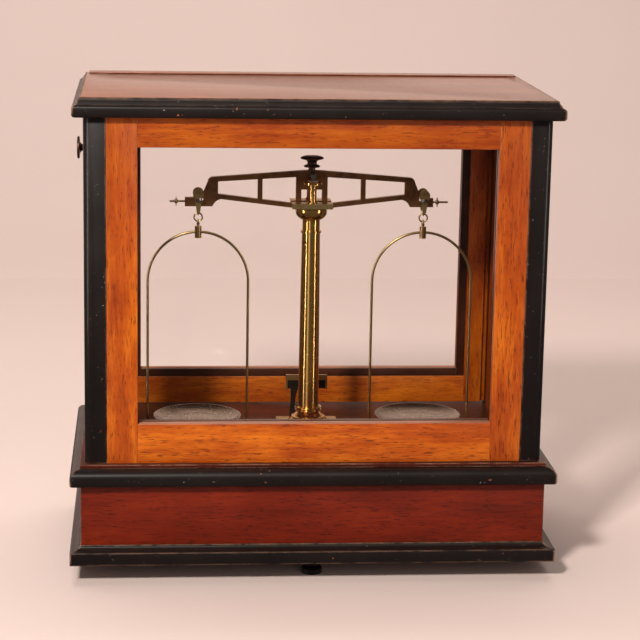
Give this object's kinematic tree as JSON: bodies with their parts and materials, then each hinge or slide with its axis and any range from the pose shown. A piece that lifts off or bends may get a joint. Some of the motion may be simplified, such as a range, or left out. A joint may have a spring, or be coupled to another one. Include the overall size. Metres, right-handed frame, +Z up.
{
  "type": "analytical balance",
  "caption": "Beam balance with column, hanging pans and arrest, inside a glazed mahogany case with ebonised mouldings and a sliding front sash.",
  "frame": {"origin": "on the table, under the middle of the overall width and depth", "axes": "+X across the case, +Y towards the sliding front sash and its arrest knob, +Z up"},
  "size_m": [0.443, 0.2548, 0.4421],
  "materials": {
    "mahogany": "french polished",
    "ebonised": "ebonised satin",
    "glass": "clear",
    "brass": "polished",
    "bronze": "dark lacquer",
    "nickel": "worn silvering",
    "steel": "ground",
    "iron": "blackened",
    "agate": "polished",
    "knob": "dark lacquer"
  },
  "bodies": {
    "case": {"base_board": "mahogany", "bottom_board": "mahogany", "plinth_back": "mahogany", "plinth_front": "mahogany", "plinth_left": "mahogany", "plinth_right": "mahogany", "base_moulding": "ebonised", "skirt_moulding": "ebonised", "cap_moulding": "ebonised", "cap_panel": "mahogany", "post_back_left": "ebonised", "post_back_right": "ebonised", "post_front_left": "ebonised", "post_front_right": "ebonised", "back_frame": "mahogany", "back_glass": "glass", "back_beads": "mahogany", "left_frame": "mahogany", "left_glass": "glass", "left_beads": "mahogany", "right_frame": "mahogany", "right_glass": "glass", "right_beads": "mahogany", "back_foot": "brass", "foot_plate": "brass", "column_foot": "brass", "column": "brass", "capital": "brass", "rest_jaws": "brass", "bearing_pillars": "brass", "bearing_planes": "agate", "scale_plate": "brass", "scale_dial": "iron", "scale_bracket": "iron", "shaft_bearings": "iron"},
    "sash": {"sash_frame": "mahogany", "sash_glass": "glass", "sash_beads": "mahogany", "sash_strip": "mahogany"},
    "sash_clamp": {"sash_screw": "knob"},
    "levelling_left": {"levelling_screw_left": "brass"},
    "levelling_right": {"levelling_screw_right": "brass"},
    "arrest": {"arrest_knob": "brass", "arrest_shaft": "steel"},
    "lift": {"lift_rod": "steel"},
    "balance_beam": {"beam": "bronze", "knives": "steel", "pointer": "steel", "adjusting_rods": "brass"},
    "gravity_knob": {"sensitivity_knob": "knob"},
    "nut_left": {"adjusting_nut_left": "brass"},
    "nut_right": {"adjusting_nut_right": "brass"},
    "stirrup_left_body": {"stirrup_left": "brass"},
    "link_left_body": {"link_left": "brass"},
    "bow_left_body": {"bow_left": "brass"},
    "pan_left_body": {"pan_left": "nickel"},
    "stirrup_right_body": {"stirrup_right": "brass"},
    "link_right_body": {"link_right": "brass"},
    "bow_right_body": {"bow_right": "brass"},
    "pan_right_body": {"pan_right": "nickel"}
  },
  "joints": [
    {"name": "sash_slide", "type": "slide", "parent": "case", "child": "sash", "axis": [0, 0, 1], "range_m": [0, 0.23]},
    {"name": "sash_screw_turn", "type": "hinge", "parent": "case", "child": "sash_clamp", "pos_m": [-0.2, 0.09863, 0.368], "axis": [1, 0, 0], "range_deg": [0, 90]},
    {"name": "levelling_left_turn", "type": "hinge", "parent": "case", "child": "levelling_left", "pos_m": [-0.18, 0.07963, 0.01], "axis": [0, 0, 1], "continuous": true},
    {"name": "levelling_right_turn", "type": "hinge", "parent": "case", "child": "levelling_right", "pos_m": [0.18, 0.07963, 0.01], "axis": [0, 0, 1], "continuous": true},
    {"name": "arrest_turn", "type": "hinge", "parent": "case", "child": "arrest", "pos_m": [0, 0.06, 0.056], "axis": [0, 1, 0], "range_deg": [0, 90]},
    {"name": "arrest_lift", "type": "slide", "parent": "case", "child": "lift", "axis": [0, 0, 1], "range_m": [-0.0025, 0]},
    {"name": "beam_swing", "type": "hinge", "parent": "case", "child": "balance_beam", "pos_m": [0, -0.02538, 0.3576], "axis": [0, 1, 0], "range_deg": [-2.5, 2.5]},
    {"name": "gravity_knob_turn", "type": "hinge", "parent": "balance_beam", "child": "gravity_knob", "pos_m": [0, -0.02538, 0.37], "axis": [0, 0, 1], "continuous": true},
    {"name": "nut_left_travel", "type": "slide", "parent": "balance_beam", "child": "nut_left", "axis": [1, 0, 0], "range_m": [-0.004, 0.006]},
    {"name": "nut_right_travel", "type": "slide", "parent": "balance_beam", "child": "nut_right", "axis": [1, 0, 0], "range_m": [-0.002, 0.007]},
    {"name": "stirrup_left_swing", "type": "hinge", "parent": "balance_beam", "child": "stirrup_left_body", "pos_m": [-0.1046, -0.02538, 0.3396], "axis": [0, 1, 0], "range_deg": [-5, 5]},
    {"name": "link_left_swing", "type": "hinge", "parent": "stirrup_left_body", "child": "link_left_body", "pos_m": [-0.1046, -0.02538, 0.3239], "axis": [1, 0, 0], "range_deg": [-4, 4]},
    {"name": "bow_left_swivel", "type": "hinge", "parent": "link_left_body", "child": "bow_left_body", "pos_m": [-0.1046, -0.02538, 0.31], "axis": [0, 0, 1], "range_deg": [-20, 20]},
    {"name": "pan_left_lift", "type": "slide", "parent": "bow_left_body", "child": "pan_left_body", "axis": [0, 0, 1], "range_m": [0, 0.06]},
    {"name": "stirrup_right_swing", "type": "hinge", "parent": "balance_beam", "child": "stirrup_right_body", "pos_m": [0.1046, -0.02538, 0.3396], "axis": [0, 1, 0], "range_deg": [-5, 5]},
    {"name": "link_right_swing", "type": "hinge", "parent": "stirrup_right_body", "child": "link_right_body", "pos_m": [0.1046, -0.02538, 0.3239], "axis": [1, 0, 0], "range_deg": [-4, 4]},
    {"name": "bow_right_swivel", "type": "hinge", "parent": "link_right_body", "child": "bow_right_body", "pos_m": [0.1046, -0.02538, 0.31], "axis": [0, 0, 1], "range_deg": [-20, 20]},
    {"name": "pan_right_lift", "type": "slide", "parent": "bow_right_body", "child": "pan_right_body", "axis": [0, 0, 1], "range_m": [0, 0.06]}
  ],
  "couplings": [
    {"joint": "arrest_lift", "follows": "arrest_turn", "m_per_rad": -0.0015915}
  ]
}
